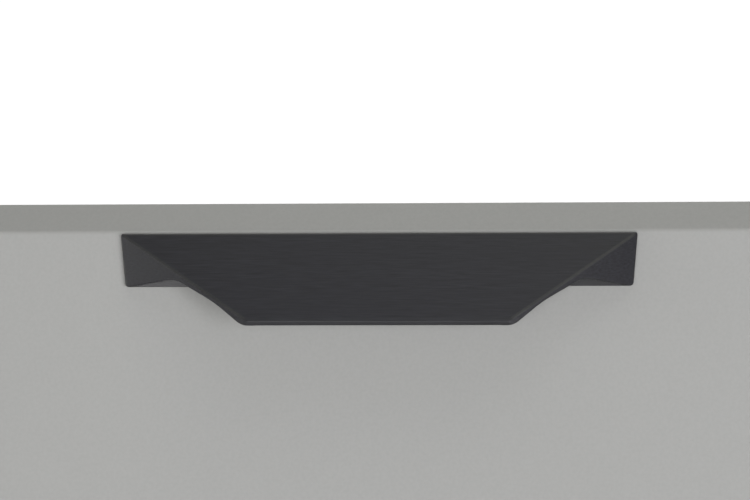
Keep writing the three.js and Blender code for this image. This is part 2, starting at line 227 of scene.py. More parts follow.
def studio_floor(name):
    """Pale paper that fades out into the white surround."""
    s = Shader(name)
    mottle = s.noise(s.coordinates, 2.0, 2.0)
    distance = s.tree.nodes.new("ShaderNodeVectorMath")
    distance.operation = "LENGTH"
    s.tree.links.new(s.coordinates, distance.inputs[0])
    fade = s.tree.nodes.new("ShaderNodeMapRange")
    fade.interpolation_type = "SMOOTHSTEP"
    s.tree.links.new(distance.outputs["Value"], fade.inputs["Value"])
    for key, value in (("From Min", FADE_START), ("From Max", FADE_END), ("To Min", 1.0), ("To Max", 0.0)):
        fade.inputs[key].default_value = value
    return s.set(Base_Color=s.mix(mottle, (0.78, 0.78, 0.775), (0.82, 0.82, 0.815)), Roughness=0.75,
                 Alpha=fade.outputs["Result"])


# Linear colours.
FRONT_GREY = (0.430, 0.430, 0.419)
ANTHRACITE = (0.0198, 0.0195, 0.0250)
# The colour of the pull's painted highlight.
HIGHLIGHT_ANTHRACITE = (0.054, 0.054, 0.053)
MATERIALS = {
    "lacquered_front": lacquer("matte_lacquer_front", FRONT_GREY, 0.52),
    "lacquered_board": lacquer("matte_lacquer_board", FRONT_GREY, 0.52),
    "anthracite_metal": brushed_anthracite("brushed_anthracite", ANTHRACITE, HIGHLIGHT_ANTHRACITE),
    "drawer_board": melamine("drawer_melamine", (0.56, 0.555, 0.54)),
    "backing_board": hardboard("painted_hardboard", (0.40, 0.395, 0.38)),
    "zinc_plate": zinc("zinc_plate", (0.62, 0.63, 0.65)),
    "black_plastic": moulded("black_plastic", (0.022, 0.022, 0.024)),
}


# ------------------------------------------------------------------ mesh helpers

def add_piece(name, mesh, body, slot, replaces=()):
    piece = bpy.data.objects.new(name, mesh)
    bpy.context.scene.collection.objects.link(piece)
    mesh.materials.clear()
    mesh.materials.append(MATERIALS[slot])
    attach(piece, body)
    if replaces:
        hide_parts(*replaces)
    return piece


def even_normals(piece):
    """Flat faces stay flat beside rounded arrises."""
    modifier = piece.modifiers.new("even_normals", "WEIGHTED_NORMAL")
    modifier.weight = 100
    modifier.keep_sharp = True
    return piece


def inset_corners(corners, distance):
    """An anticlockwise outline of (u, v, radius) corners with every side moved in by distance."""
    moved = []
    count = len(corners)
    for i, (u, v, radius) in enumerate(corners):
        here = Vector((u, v))
        before = (here - Vector(corners[i - 1][:2])).normalized()
        after = (Vector(corners[(i + 1) % count][:2]) - here).normalized()
        normal_before = Vector((-before.y, before.x))
        normal_after = Vector((-after.y, after.x))
        shift = (normal_before + normal_after) / (1 + normal_before.dot(normal_after))
        is_convex = before.cross(after) > 0
        new_radius = max(radius - distance, 0.0) if is_convex else radius and radius + distance
        moved.append((u + shift.x * distance, v + shift.y * distance, new_radius))
    return moved


def round_outline(corners, steps=4):
    """Points of a closed outline with an arc at each corner whose radius isn't zero, and for each
    point how far it is round its arc: 0 at the arc's ends, 1 at its middle."""
    points, edge = [], []
    count = len(corners)
    for i, (u, v, radius) in enumerate(corners):
        corner = Vector((u, v))
        back = (Vector(corners[i - 1][:2]) - corner).normalized()
        on = (Vector(corners[(i + 1) % count][:2]) - corner).normalized()
        half = math.acos(max(-1.0, min(1.0, back.dot(on)))) / 2
        if radius is None or radius < 1e-7:
            points.append(corner)
            edge.append(0.0)
            continue
        centre = corner + (back + on).normalized() * radius / math.sin(half)
        start = corner + back * radius / math.tan(half) - centre
        turn = math.copysign(math.pi - 2 * half, on.cross(back))
        for k in range(steps + 1):
            rotation = Matrix.Rotation(turn * k / steps, 2)
            points.append(centre + rotation @ start)
            edge.append(math.sin(math.pi * k / steps))
    return points, edge


def pull_origin(number):
    """The middle of a pull's top edge, on its drawer front's face."""
    low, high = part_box(f"handle_{number}")
    return Vector(((low.x + high.x) / 2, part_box(f"drawer_front_{number}")[0].y, high.z))


PULL_FRONT = pull_origin(1)


def placed(axis, u, v, w):
    """Outline coordinates u, v and the distance w along the axis, as X, Y, Z."""
    return {"x": (w, u, v), "y": (u, w, v), "z": (u, v, w)}[axis]


def profile_mesh(name, corners, axis, low, high, end_radius=0.0, steps=4):
    """A closed bar with this outline across the axis and rounded arrises round both ends."""
    ends = [(0.0, 0.0, 0.0)]
    if end_radius:
        ends = [(end_radius * (1 - math.cos(math.pi / 2 * k / steps)),
                 end_radius * (1 - math.sin(math.pi / 2 * k / steps)),
                 math.sin(math.pi * k / steps)) for k in range(steps + 1)]
    stations = [(low + along, inset, edge) for along, inset, edge in ends]
    stations += [(high - along, inset, edge) for along, inset, edge in reversed(ends)]
    bm = bmesh.new()
    layer = bm.verts.layers.float.new("edge")
    loops = []
    for w, inset, end_edge in stations:
        points, edge = round_outline(inset_corners(corners, inset), steps)
        loop = []
        for point, arc_edge in zip(points, edge):
            vertex = bm.verts.new(placed(axis, point.x, point.y, w))
            vertex[layer] = max(arc_edge, end_edge)
            loop.append(vertex)
        loops.append(loop)
    for first, second in zip(loops, loops[1:]):
        for i in range(len(first)):
            j = (i + 1) % len(first)
            bm.faces.new((first[i], first[j], second[j], second[i]))
    bm.faces.new(loops[0])
    bm.faces.new(loops[-1])
    bmesh.ops.remove_doubles(bm, verts=bm.verts, dist=1e-6)
    bmesh.ops.recalc_face_normals(bm, faces=bm.faces)
    for face in bm.faces:
        face.smooth = True
    mesh = bpy.data.meshes.new(name)
    bm.to_mesh(mesh)
    bm.free()
    return mesh


def rectangle(u, v, radius):
    return [(u[0], v[0], radius), (u[1], v[0], radius), (u[1], v[1], radius), (u[0], v[1], radius)]


def board(node, body, slot, radius, axis="x"):
    """A rectangular board with softly rounded arrises, in a CAD node's place."""
    low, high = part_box(node)
    order = {"x": (1, 2, 0), "y": (0, 2, 1), "z": (0, 1, 2)}[axis]
    u, v, w = ((low[i], high[i]) for i in order)
    mesh = profile_mesh(node, rectangle(u, v, radius), axis, w[0], w[1], radius * 0.9, steps=3)
    return even_normals(add_piece(f"{node}_board", mesh, body, slot, [node]))


def turned_mesh(name, profile, axis_point, direction, segments=32, socket=0.0):
    """A solid turned about a line along direction: profile is (radius, distance along) points from
    the line out and back to it. With a socket radius, the first ring is shaped as a hexagon."""
    bm = bmesh.new()
    layer = bm.verts.layers.float.new("edge")
    turn = Vector((0, 0, 1)).rotation_difference(Vector(direction)).to_matrix()
    rings = []
    for radius, along in profile:
        is_socket = socket and radius <= socket
        ring = []
        for k in range(segments if radius > 0 else 1):
            angle = 2 * math.pi * k / segments
            flat = math.cos(math.pi / 6) / math.cos((angle % (math.pi / 3)) - math.pi / 6)
            reach = radius * (flat if is_socket else 1.0)
            point = Vector((reach * math.cos(angle), reach * math.sin(angle), along))
            ring.append(bm.verts.new(Vector(axis_point) + turn @ point))
            ring[-1][layer] = 0.0
        rings.append(ring)
    for first, second in zip(rings, rings[1:]):
        for k in range(segments):
            j = (k + 1) % segments
            corners = ((first, k), (first, j), (second, j), (second, k))
            loop = [ring[i % len(ring)] for ring, i in corners]
            bm.faces.new(list(dict.fromkeys(loop)))
    bmesh.ops.recalc_face_normals(bm, faces=bm.faces)
    for face in bm.faces:
        face.smooth = True
    for edge in bm.edges:
        if len(edge.link_faces) == 2 and edge.calc_face_angle(0.0) > math.radians(40):
            edge.smooth = False
    mesh = bpy.data.meshes.new(name)
    bm.to_mesh(mesh)
    bm.free()
    return mesh


def joined(name, meshes):
    """One mesh that holds several."""
    bm = bmesh.new()
    for mesh in meshes:
        bm.from_mesh(mesh)
        bpy.data.meshes.remove(mesh)
    mesh = bpy.data.meshes.new(name)
    bm.to_mesh(mesh)
    bm.free()
    return mesh


def carve(piece, cutters):
    """Cuts the cutter meshes out of the piece's own mesh."""
    for cutter_mesh in cutters:
        cutter = bpy.data.objects.new("cutter", cutter_mesh)
        bpy.context.scene.collection.objects.link(cutter)
        modifier = piece.modifiers.new("cut", "BOOLEAN")
        modifier.object = cutter
        modifier.solver = "EXACT"
        evaluated = piece.evaluated_get(bpy.context.evaluated_depsgraph_get())
        mesh = bpy.data.meshes.new_from_object(evaluated)
        piece.modifiers.remove(modifier)
        old = piece.data
        piece.data = mesh
        bpy.data.meshes.remove(old)
        bpy.data.objects.remove(cutter)
        bpy.data.meshes.remove(cutter_mesh)


# ------------------------------------------------------------------ drawer fronts

FRONT_BEVEL = 9.67 * MM
LOWER_ARRIS = 2.2 * MM    # where the bevel meets the face
ARRIS = 0.8 * MM
FRONT_END_ARRIS = 0.7 * MM
FIT = 0.3 * MM            # gap between pieces that touch
CUT_PAST = 1.0 * MM       # how far a cutter runs past the face it opens
SHANK_BORE = 2.3 * MM
HEAD_BORE = 4.6 * MM
HEAD_SINK = 3.0 * MM


def bottom_groove(number):
    """The groove that takes the drawer bottom's front edge, a little loose round it."""
    low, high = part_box(f"drawer_bottom_{number}")
    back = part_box(f"drawer_front_{number}")[1].y
    outline = rectangle((low.y - FIT, back + CUT_PAST), (low.z - FIT, high.z + FIT), 0.0)
    return profile_mesh("groove", outline, "x", low.x - FIT, high.x + FIT)


def screw_hole(node):
    """A bore for a pull screw's shank with a counterbore for its head."""
    low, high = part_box(node)
    x, z = (low.x + high.x) / 2, (low.z + high.z) / 2
    front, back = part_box(node.replace("handle_screw", "drawer_front").rsplit("_", 1)[0])
    profile = [(0.0, front.y - CUT_PAST), (SHANK_BORE, front.y - CUT_PAST),
               (SHANK_BORE, back.y - HEAD_SINK), (HEAD_BORE, back.y - HEAD_SINK),
               (HEAD_BORE, back.y + CUT_PAST), (0.0, back.y + CUT_PAST)]
    return turned_mesh("screw_hole", profile, (x, 0, z), (0, 1, 0))


def drawer_front(number):
    node = f"drawer_front_{number}"
    low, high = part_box(node)
    outline = [
        (low.y, low.z, ARRIS),
        (high.y, low.z, ARRIS),
        (high.y, high.z, ARRIS),
        (low.y + FRONT_BEVEL, high.z, ARRIS),
        (low.y, high.z - FRONT_BEVEL, LOWER_ARRIS),
    ]
    mesh = profile_mesh(node, outline, "x", low.x, high.x, FRONT_END_ARRIS, steps=6)
    front = add_piece(f"front_{number}", mesh, f"drawer_{number}", "lacquered_front", [node])
    holes = [screw_hole(f"handle_screw_{number}_{side}") for side, _ in SIDES]
    carve(front, [bottom_groove(number), *holes])
    for polygon in front.data.polygons:
        polygon.use_smooth = True
    even_normals(front)


# ------------------------------------------------------------------ pull

# The pull's own frame, in millimetres: the origin is at the middle of its top edge, on the drawer
# front's face; y is negative out of the front and z is negative below the top edge.
PULL_WIDTH = 171.7
PLATE_HEIGHT = 17.8
PLATE_THICKNESS = 1.9
PLATE_GAP = 0.3           # below the plate the wall ends this far in front of it
END_TAPER = 1.54
FACE_DROP = 28.3          # to the face's outer lower edge
LIP_DROP = 29.75          # to the lowest point of the lip's cut edge
LIP_HALF_WIDTH = 39.2
LIP_TILT = 0.45           # how far the lip's cut edge leans to face down
PROJECTION = 21.8
WALL = 1.56
SCREW_SPACING = 128.0
SCREW_DROP = 8.9
BOSS_RADIUS = 4.0
BORE_RADIUS = 2.0
BORE_DEPTH = 4.6
WING = (                  # distance in from the top edge's end, height, corner radius
    (3.2, -PLATE_HEIGHT, 0.0),
    (19.1, -14.85, 8.0),
    (32.95, -22.4, 40.0),
    (42.45, -LIP_DROP, 6.0),
)
END_CORNER = 1.4
SPARE = 5.0               # room above the top edge
FOLD_RADIUS = 0.9
TOP_RADIUS = 1.0
HOLLOW_RADIUS = 1.0       # inside the folds
INNER_RADIUS = 0.5        # where the wall and the bosses meet the plate
SHELL_ARRIS = 0.3
CUT_ARRIS = 0.25          # along the wings' cut edges
LIP_ARRIS = 0.2
PLATE_ARRIS = 0.15
LIP_HIGHLIGHT = 0.25           # painted highlight: how much lighter the lip's cut edge is painted, on the same scale as the folds' highlight
PLATE_PAINTED_LIGHT = 0.4          # painted light: how much lighter the plate's front is painted under the wings, where it lies in their shade
LIP_SHIFT = 0.3           # the lip sits this far to the right of the plate's middle
FOLD_SHIFT = 0.5          # and the folds' lower ends this far


def round_max(a, b, radius=0.0, cosine=0.0):
    """Where both distances are negative, with the arris rounded; cosine is of the two normals' angle."""
    r = radius * (1 - cosine)
    if r <= 0:
        return np.maximum(a, b)
    arc = np.hypot(np.maximum(a + r, 0), np.maximum(b + r, 0))
    return np.minimum(np.maximum(a, b), -r) + arc


def round_min(a, b, radius):
    return -round_max(-a, -b, radius)


def unit(*vector):
    return np.array(vector, float) / np.linalg.norm(vector)


def wing_silhouette():
    """The pull's outline from the front, below its wings: a scoop, the diagonal and the lip's corner."""
    half = PULL_WIDTH / 2
    taper = END_TAPER / PLATE_HEIGHT
    end = [(-taper * SPARE, SPARE, 0.0), (END_TAPER, -PLATE_HEIGHT, END_CORNER)]
    left = [(u - half, z, radius) for u, z, radius in end]
    left += [(u - half + LIP_SHIFT, z, radius) for u, z, radius in WING]
    right = [(half - u + LIP_SHIFT, z, radius) for u, z, radius in WING[::-1]]
    right += [(half - u, z, radius) for u, z, radius in end[::-1]]
    points, _ = round_outline(left + right, steps=6)
    return np.array([tuple(point) for point in points])


def outline_distance(points, x, z):
    """Signed distance in the plane to a closed outline, negative inside."""
    nearest = np.full(np.broadcast(x, z).shape, np.inf)
    inside = np.zeros(nearest.shape, bool)
    for (ax, az), (bx, bz) in zip(points, np.roll(points, -1, axis=0)):
        ex, ez = bx - ax, bz - az
        share = np.clip(((x - ax) * ex + (z - az) * ez) / (ex * ex + ez * ez), 0, 1)
        nearest = np.minimum(nearest, np.hypot(x - ax - share * ex, z - az - share * ez))
        if ez:
            crosses = ((az > z) != (bz > z)) & (x < ax + (z - az) / ez * ex)
            inside ^= crosses
    return np.where(inside, -nearest, nearest)


SILHOUETTE = wing_silhouette()


def pull_distance(x, y, z):
    """Distance to the pull's surface, negative in the metal. Takes arrays that broadcast together."""
    half = PULL_WIDTH / 2
    across = np.abs(x)
    folded_across = np.abs(x + FOLD_SHIFT * np.clip(z / LIP_DROP, -1, 0))
    face_slope = (PROJECTION - PLATE_THICKNESS) / FACE_DROP
    fold_slope = (half - LIP_HALF_WIDTH) / LIP_DROP
    end_slope = END_TAPER / PLATE_HEIGHT

    face_normal = unit(0, -1, face_slope)
    facet_normal = unit(*-np.cross((-end_slope, 0, -1), (-fold_slope, -face_slope, -1)))
    lip_normal = unit(0, -1, -LIP_TILT)
    end_normal = unit(1, 0, -end_slope)
    if facet_normal[0] < 0:
        facet_normal = -facet_normal

    def plane(normal, px, py, pz, u=across):
        return normal[0] * (u - px) + normal[1] * (y - py) + normal[2] * (z - pz)

    face = plane(face_normal, 0, -PLATE_THICKNESS, 0)
    facet = plane(facet_normal, half, -PLATE_THICKNESS, 0, folded_across)
    end = plane(end_normal, half, 0, 0)
    lip = plane(lip_normal, 0, -PROJECTION, -FACE_DROP)

    outer = round_max(face, facet, FOLD_RADIUS, face_normal @ facet_normal)
    outer = round_max(outer, round_max(z, end, FOLD_RADIUS), TOP_RADIUS, face_normal[2])
    outer = round_max(outer, lip, LIP_ARRIS)
    outer = np.maximum(outer, y)

    hollow = round_max(face + WALL, facet + WALL, HOLLOW_RADIUS, face_normal @ facet_normal)
    hollow = round_max(hollow, y + PLATE_THICKNESS, INNER_RADIUS, cosine=0.3)
    shell = round_max(outer, -hollow, SHELL_ARRIS)
    below_plate = np.maximum(z + PLATE_HEIGHT, -(y + PLATE_THICKNESS + PLATE_GAP))
    shell = np.maximum(shell, -below_plate)
    shell = round_max(shell, outline_distance(SILHOUETTE, x, z), CUT_ARRIS)

    plate = round_max(end, -(z + PLATE_HEIGHT), END_CORNER)
    plate = round_max(plate, -(y + PLATE_THICKNESS), PLATE_ARRIS)
    from_screw = np.hypot(across - SCREW_SPACING / 2, z + SCREW_DROP)
    metal = round_min(round_min(shell, plate, CUT_ARRIS), from_screw - BOSS_RADIUS, INNER_RADIUS)
    bore = np.maximum(from_screw - BORE_RADIUS, -(y + BORE_DEPTH))
    return np.maximum(np.maximum(metal, outer), -bore)


def slope_of(distance, points, step=1e-3):
    """The direction in which distance(x, y, z) grows at each point."""
    rises = [distance(*(points + offset).T) - distance(*(points - offset).T) for offset in np.eye(3) * step]
    return np.stack(rises, axis=1) / (2 * step)


def surface_net(distance, xs, ys, zs):
    """A quad mesh of the zero surface of distance(x, y, z) on a grid, with one vertex in each cell
    that the surface crosses, moved onto the surface."""
    grid = distance(xs[:, None, None], ys[None, :, None], zs[None, None, :])
    axes = (xs, ys, zs)
    cells = tuple(n - 1 for n in grid.shape)
    total = np.zeros((*cells, 3))
    hits = np.zeros(cells)
    crossings = []
    for axis in range(3):
        a = np.take(grid, range(grid.shape[axis] - 1), axis)
        b = np.take(grid, range(1, grid.shape[axis]), axis)
        where = np.argwhere((a < 0) != (b < 0))
        others = [i for i in range(3) if i != axis]
        inside = [(where[:, i] > 0) & (where[:, i] < grid.shape[i] - 1) for i in others]
        where = where[np.all(inside, axis=0)]
        first, second = a[tuple(where.T)], b[tuple(where.T)]
        share = first / (first - second)
        point = np.stack([axes[i][where[:, i]] for i in range(3)], axis=1)
        point[:, axis] += share * (axes[axis][where[:, axis] + 1] - axes[axis][where[:, axis]])
        corners = []
        for du, dv in ((-1, -1), (0, -1), (0, 0), (-1, 0)):
            cell = where.copy()
            cell[:, others[0]] += du
            cell[:, others[1]] += dv
            np.add.at(total, tuple(cell.T), point)
            np.add.at(hits, tuple(cell.T), 1)
            corners.append(cell)
        crossings.append((corners, (first < 0) ^ (axis == 1)))
    used = hits > 0
    number = np.full(cells, -1)
    number[used] = np.arange(used.sum())
    points = total[used] / hits[used][:, None]
    faces = []
    for corners, outwards in crossings:
        quads = np.stack([number[tuple(cell.T)] for cell in corners], axis=1)
        quads[~outwards] = quads[~outwards][:, ::-1]
        faces.append(quads)
    for _ in range(3):
        slope = slope_of(distance, points)
        points -= (distance(*points.T) / np.maximum((slope ** 2).sum(axis=1), 0.25))[:, None] * slope
    return points, np.concatenate(faces)


def graded(*spans):
    """Grid lines over (start, stop, step) spans that follow on."""
    lines = [np.arange(start, stop - step / 2, step) for start, stop, step in spans]
    return np.concatenate([*lines, [spans[-1][1]]])


def bend_of(points, step=0.4):
    """How sharply the surface turns outwards at each point, per millimetre."""
    bend = 0.0
    for offset in np.eye(3) * step:
        bend = bend + pull_distance(*(points + offset).T) + pull_distance(*(points - offset).T)
    return (bend - 6 * pull_distance(*points.T)) / step ** 2


FLAT_HALF_WIDTH = 34.0    # between here and the middle the pull is the same all along X
FINE_STEP = 0.45
WING_STEP = 0.5
FLAT_STEP = 2.0
MARGIN = 1.0              # of empty grid in front of the pull, behind it and past its ends
HEIGHT_MARGIN = 1.2       # and above and below it


def pull_mesh():
    """The pull as a mesh of its rounded surface, with its painted highlights and its exact normals."""
    wing_end = PULL_WIDTH / 2 + MARGIN
    middle = FLAT_HALF_WIDTH
    xs = graded((-wing_end, -middle, WING_STEP), (-middle, middle, FLAT_STEP),
                (middle, wing_end, WING_STEP))
    ys = graded((-PROJECTION - MARGIN, MARGIN, FINE_STEP))
    zs = graded((-LIP_DROP - HEIGHT_MARGIN, HEIGHT_MARGIN, FINE_STEP))
    points, faces = surface_net(pull_distance, xs, ys, zs)
    mesh = bpy.data.meshes.new("wing_pull")
    mesh.from_pydata((points * MM).tolist(), [], faces.tolist())
    mesh.validate()
    mesh.polygons.foreach_set("use_smooth", [True] * len(mesh.polygons))
    # Painted highlight on the folds and arrises: it grows with the bend and is weaker within 1.5 mm of the
    # wings' cut edges.
    by_outline = np.clip(outline_distance(SILHOUETTE, points[:, 0], points[:, 2]) + 1.5, 0.0, 1.0)
    painted_highlight = np.clip(bend_of(points) - 0.15, 0.0, 1.0) * (1 - 0.8 * by_outline)
    # The lip's cut edge gets a painted highlight.
    on_lip = np.clip(-points[:, 2] - FACE_DROP + 1.2, 0.0, 1.0)
    # The plate's front under the wings, which lies in their shade, gets painted light.
    on_plate = (np.abs(points[:, 1] + PLATE_THICKNESS) < 0.2) & (points[:, 2] < -PLATE_HEIGHT / 2)
    painted_highlight = np.where(on_plate, PLATE_PAINTED_LIGHT, painted_highlight)
    edge = mesh.attributes.new("edge", "FLOAT", "POINT")
    edge.data.foreach_set("value", painted_highlight * (1 - on_lip) + LIP_HIGHLIGHT * on_lip)
    normals = slope_of(pull_distance, points, 0.05)
    mesh.normals_split_custom_set_from_vertices(normals / np.linalg.norm(normals, axis=1)[:, None])
    return mesh


def add_pulls():
    shape = pull_mesh()
    for number in DRAWERS:
        mesh = shape.copy()
        mesh.transform(Matrix.Translation(pull_origin(number)))
        add_piece(f"pull_{number}", mesh, f"drawer_{number}", "anthracite_metal", [f"handle_{number}"])


# ------------------------------------------------------------------ carcass

BOARD_ARRIS = 0.9 * MM
GLIDE_RIM = 1.8 * MM
GLIDE_CHAMFER = 0.4 * MM
WALL_PLATE_CORNER = 5.0 * MM
STRAP_HOLE_RADIUS = 4.0 * MM
WALL_SCREW_INSET = 8.0 * MM
WALL_SCREW_HEAD = (3.6 * MM, 2.0 * MM)      # radius and height
BACK_SCREW_HEAD = (3.5 * MM, 1.8 * MM)
BACK_SCREW_INSET = 45.0 * MM
BACK_SCREW_COUNT = 6


def side_panel(side_name, side):
    """A side with the groove that takes the back panel's edge."""
    node = f"side_panel_{side_name}"
    low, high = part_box(node)
    back_low, back_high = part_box("back_panel")
    outer, inner = (low.x, high.x) if side < 0 else (high.x, low.x)
    groove_floor = (back_low.x if side < 0 else back_high.x) + side * FIT
    groove = (back_low.y - FIT, back_high.y + FIT)
    outline = [
        (outer, low.y, BOARD_ARRIS),
        (inner, low.y, BOARD_ARRIS),
        (inner, groove[0], 0.0),
        (groove_floor, groove[0], 0.0),
        (groove_floor, groove[1], 0.0),
        (inner, groove[1], 0.0),
        (inner, high.y, BOARD_ARRIS),
        (outer, high.y, BOARD_ARRIS),
    ]
    if side > 0:
        outline.reverse()
    mesh = profile_mesh(node, outline, "z", low.z, high.z, 0.2 * MM, steps=3)
    even_normals(add_piece(f"{node}_board", mesh, "carcass", "lacquered_board", [node]))


def glide(node):
    """A nail-in glide with a rounded rim."""
    low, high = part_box(node)
    radius = (high.x - low.x) / 2
    height = high.z - low.z
    rim = [(radius - GLIDE_RIM * (1 - math.sin(a)), GLIDE_RIM * (1 - math.cos(a)))
           for a in np.linspace(0, math.pi / 2, 6)]
    profile = [(0.0, 0.0), *rim, (radius, height - GLIDE_CHAMFER), (radius - GLIDE_CHAMFER, height),
               (0.0, height)]
    mesh = turned_mesh(node, profile, ((low.x + high.x) / 2, (low.y + high.y) / 2, low.z), (0, 0, 1), 48)
    add_piece(f"{node}_disc", mesh, "carcass", "black_plastic", [node])


def pan_head(name, seat, direction, radius, height):
    """A pan head with a hexagon socket: seat is the middle of its underside."""
    socket = radius * 0.45
    profile = [(0.0, height * 0.35), (socket, height * 0.35), (socket, height * 0.96),
               (radius * 0.62, height), (radius * 0.84, height * 0.86), (radius * 0.97, height * 0.5),
               (radius, height * 0.12), (radius * 0.97, 0.0), (0.0, 0.0)]
    return turned_mesh(name, profile, seat, direction, 48, socket)


def wall_plate():
    """The anti-tip plate with its strap hole and two fixing screws."""
    low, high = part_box("wall_bracket")
    outline = rectangle((low.x, high.x), (low.z, high.z), WALL_PLATE_CORNER)
    mesh = profile_mesh("wall_plate", outline, "y", low.y, high.y, 0.3 * MM, steps=8)
    plate = add_piece("wall_plate", mesh, "carcass", "zinc_plate", ["wall_bracket"])
    x, z = (low.x + high.x) / 2, (low.z + high.z) / 2
    start, stop = low.y - CUT_PAST, high.y + CUT_PAST
    hole = [(0.0, start), (STRAP_HOLE_RADIUS, start), (STRAP_HOLE_RADIUS, stop), (0.0, stop)]
    carve(plate, [turned_mesh("strap_hole", hole, (x, 0, z), (0, 1, 0), 48)])
    even_normals(plate)
    reach = (high.x - low.x) / 2 - WALL_SCREW_INSET
    screws = [pan_head("screw", (x + side * reach, high.y, z), (0, 1, 0), *WALL_SCREW_HEAD)
              for _, side in SIDES]
    add_piece("wall_plate_screws", joined("wall_plate_screws", screws), "carcass", "zinc_plate")


def back_screws():
    """A row of screws through the back panel into the bottom panel's edge."""
    low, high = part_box("back_panel")
    floor_low, floor_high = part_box("bottom_panel")
    z = (floor_low.z + floor_high.z) / 2
    places = np.linspace(low.x + BACK_SCREW_INSET, high.x - BACK_SCREW_INSET, BACK_SCREW_COUNT)
    screws = [pan_head("screw", (x, high.y, z), (0, 1, 0), *BACK_SCREW_HEAD) for x in places]
    add_piece("back_panel_screws", joined("back_panel_screws", screws), "carcass", "zinc_plate")


def add_carcass():
    for node in ("top_panel", "bottom_panel", "plinth_rail_front", "plinth_rail_rear",
                 "divider_rail_upper", "divider_rail_lower"):
        board(node, "carcass", "lacquered_board", BOARD_ARRIS)
    board("back_panel", "carcass", "backing_board", 0.3 * MM)
    for side_name, side in SIDES:
        side_panel(side_name, side)
        glide(f"glide_front_{side_name}")
        glide(f"glide_rear_{side_name}")
    wall_plate()
    back_screws()


# ------------------------------------------------------------------ runners

RUNNER_PARTS = ("cabinet", "middle", "drawer")
SHEET = 1.2 * MM
BALL_RADIUS = 0.702 * MM
BALL_PITCH = 2.6 * MM
BALLS_IN_ROW = 18
CAGE_FROM_END = 14 * MM
CAGE_HALF_WIDTH = 1.6 * MM
CAGE_HALF_THICKNESS = 0.2 * MM
CAGE_BEFORE = 3 * MM      # how far a cage runs past its row of balls, in front
CAGE_AFTER = 1 * MM       # and behind
RUNNER_HEAD_RADIUS = 3.6 * MM
RUNNER_SCREWS = (         # member, head height, places along the member as shares of its length
    ("cabinet", 1.1 * MM, (0.09, 0.5, 0.91)),
    ("drawer", 1.7 * MM, (0.06, 0.45, 0.94)),
)


def rolled_section(inner_x, side, web, tip, half_height, middle_z):
    """A C section of sheet with rounded bends, as an outline across Y."""
    t = SHEET
    inner_web = web - math.copysign(t, web - tip)
    bend, nose = 1.9 * MM, 0.45 * MM
    section = [
        (web, -half_height, bend),
        (tip, -half_height, nose),
        (tip, -half_height + t, nose),
        (inner_web, -half_height + t, bend - t),
        (inner_web, half_height - t, bend - t),
        (tip, half_height - t, nose),
        (tip, half_height, nose),
        (web, half_height, bend),
    ]
    outline = [(inner_x - side * u, middle_z + v, r) for u, v, r in section]
    area = sum(a[0] * b[1] - b[0] * a[1] for a, b in zip(outline, outline[1:] + outline[:1]))
    return outline if area > 0 else outline[::-1]


def runner_member(node, side, body, web_at_cabinet):
    """One rolled member, with its bends rounded."""
    low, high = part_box(node)
    panel_low, panel_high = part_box(f"side_panel_{'left' if side < 0 else 'right'}")
    inner_x = panel_high.x if side < 0 else panel_low.x
    near, far = sorted(abs(inner_x - x) for x in (low.x, high.x))
    web, tip = (near, far) if web_at_cabinet else (far, near)
    half = (high.z - low.z) / 2
    section = rolled_section(inner_x, side, web, tip, half, (low.z + high.z) / 2)
    mesh = profile_mesh(node, section, "y", low.y, high.y, steps=4)
    return add_piece(f"{node}_rail", mesh, body, "zinc_plate", [node])


def ball_mesh(centre, radius):
    rings, segments = 6, 8
    profile = [(radius * math.sin(math.pi * k / rings), -radius * math.cos(math.pi * k / rings))
               for k in range(rings + 1)]
    profile[0], profile[-1] = (0.0, -radius), (0.0, radius)
    return turned_mesh("ball", profile, centre, (0, 0, 1), segments)


def ball_rows(number, side_name, outer_node, inner_node, stretch, label):
    """Balls in short cages between two members' flanges, at both ends of the covered stretch."""
    outer_low, outer_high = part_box(outer_node)
    inner_low, inner_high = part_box(inner_node)
    x = (max(outer_low.x, inner_low.x) + min(outer_high.x, inner_high.x)) / 2
    upper = (outer_high.z - SHEET + inner_high.z) / 2
    lower = (outer_low.z + SHEET + inner_low.z) / 2
    balls, cages = [], []
    row_length = BALLS_IN_ROW * BALL_PITCH
    for z in (upper, lower):
        strip = rectangle((x - CAGE_HALF_WIDTH, x + CAGE_HALF_WIDTH),
                          (z - CAGE_HALF_THICKNESS, z + CAGE_HALF_THICKNESS), 0.1 * MM)
        for start in (stretch[0] + CAGE_FROM_END, stretch[1] - CAGE_FROM_END - row_length):
            balls += [ball_mesh((x, start + k * BALL_PITCH, z), BALL_RADIUS) for k in range(BALLS_IN_ROW)]
            cages.append(profile_mesh("cage", strip, "y", start - CAGE_BEFORE,
                                      start + row_length + CAGE_AFTER))
    body = f"runner_middle_{number}"
    add_piece(f"balls_{number}_{side_name}_{label}", joined("balls", balls), body, "zinc_plate")
    add_piece(f"cages_{number}_{side_name}_{label}", joined("cages", cages), body, "black_plastic")


def runner_screws(number, side_name, side):
    """Low heads inside the cabinet member and higher ones inside the drawer member."""
    for part, height, shares in RUNNER_SCREWS:
        low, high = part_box(f"runner_{part}_{number}_{side_name}")
        body = "carcass" if part == "cabinet" else f"drawer_{number}"
        towards = -side if part == "cabinet" else side    # the way the heads point along X
        web_face = low.x if towards > 0 else high.x
        x, z = web_face + towards * SHEET, (low.z + high.z) / 2
        seats = [(x, low.y + share * (high.y - low.y), z) for share in shares]
        heads = [pan_head("screw", seat, (towards, 0, 0), RUNNER_HEAD_RADIUS, height) for seat in seats]
        name = f"runner_screws_{part}_{number}_{side_name}"
        add_piece(name, joined(name, heads), body, "zinc_plate")


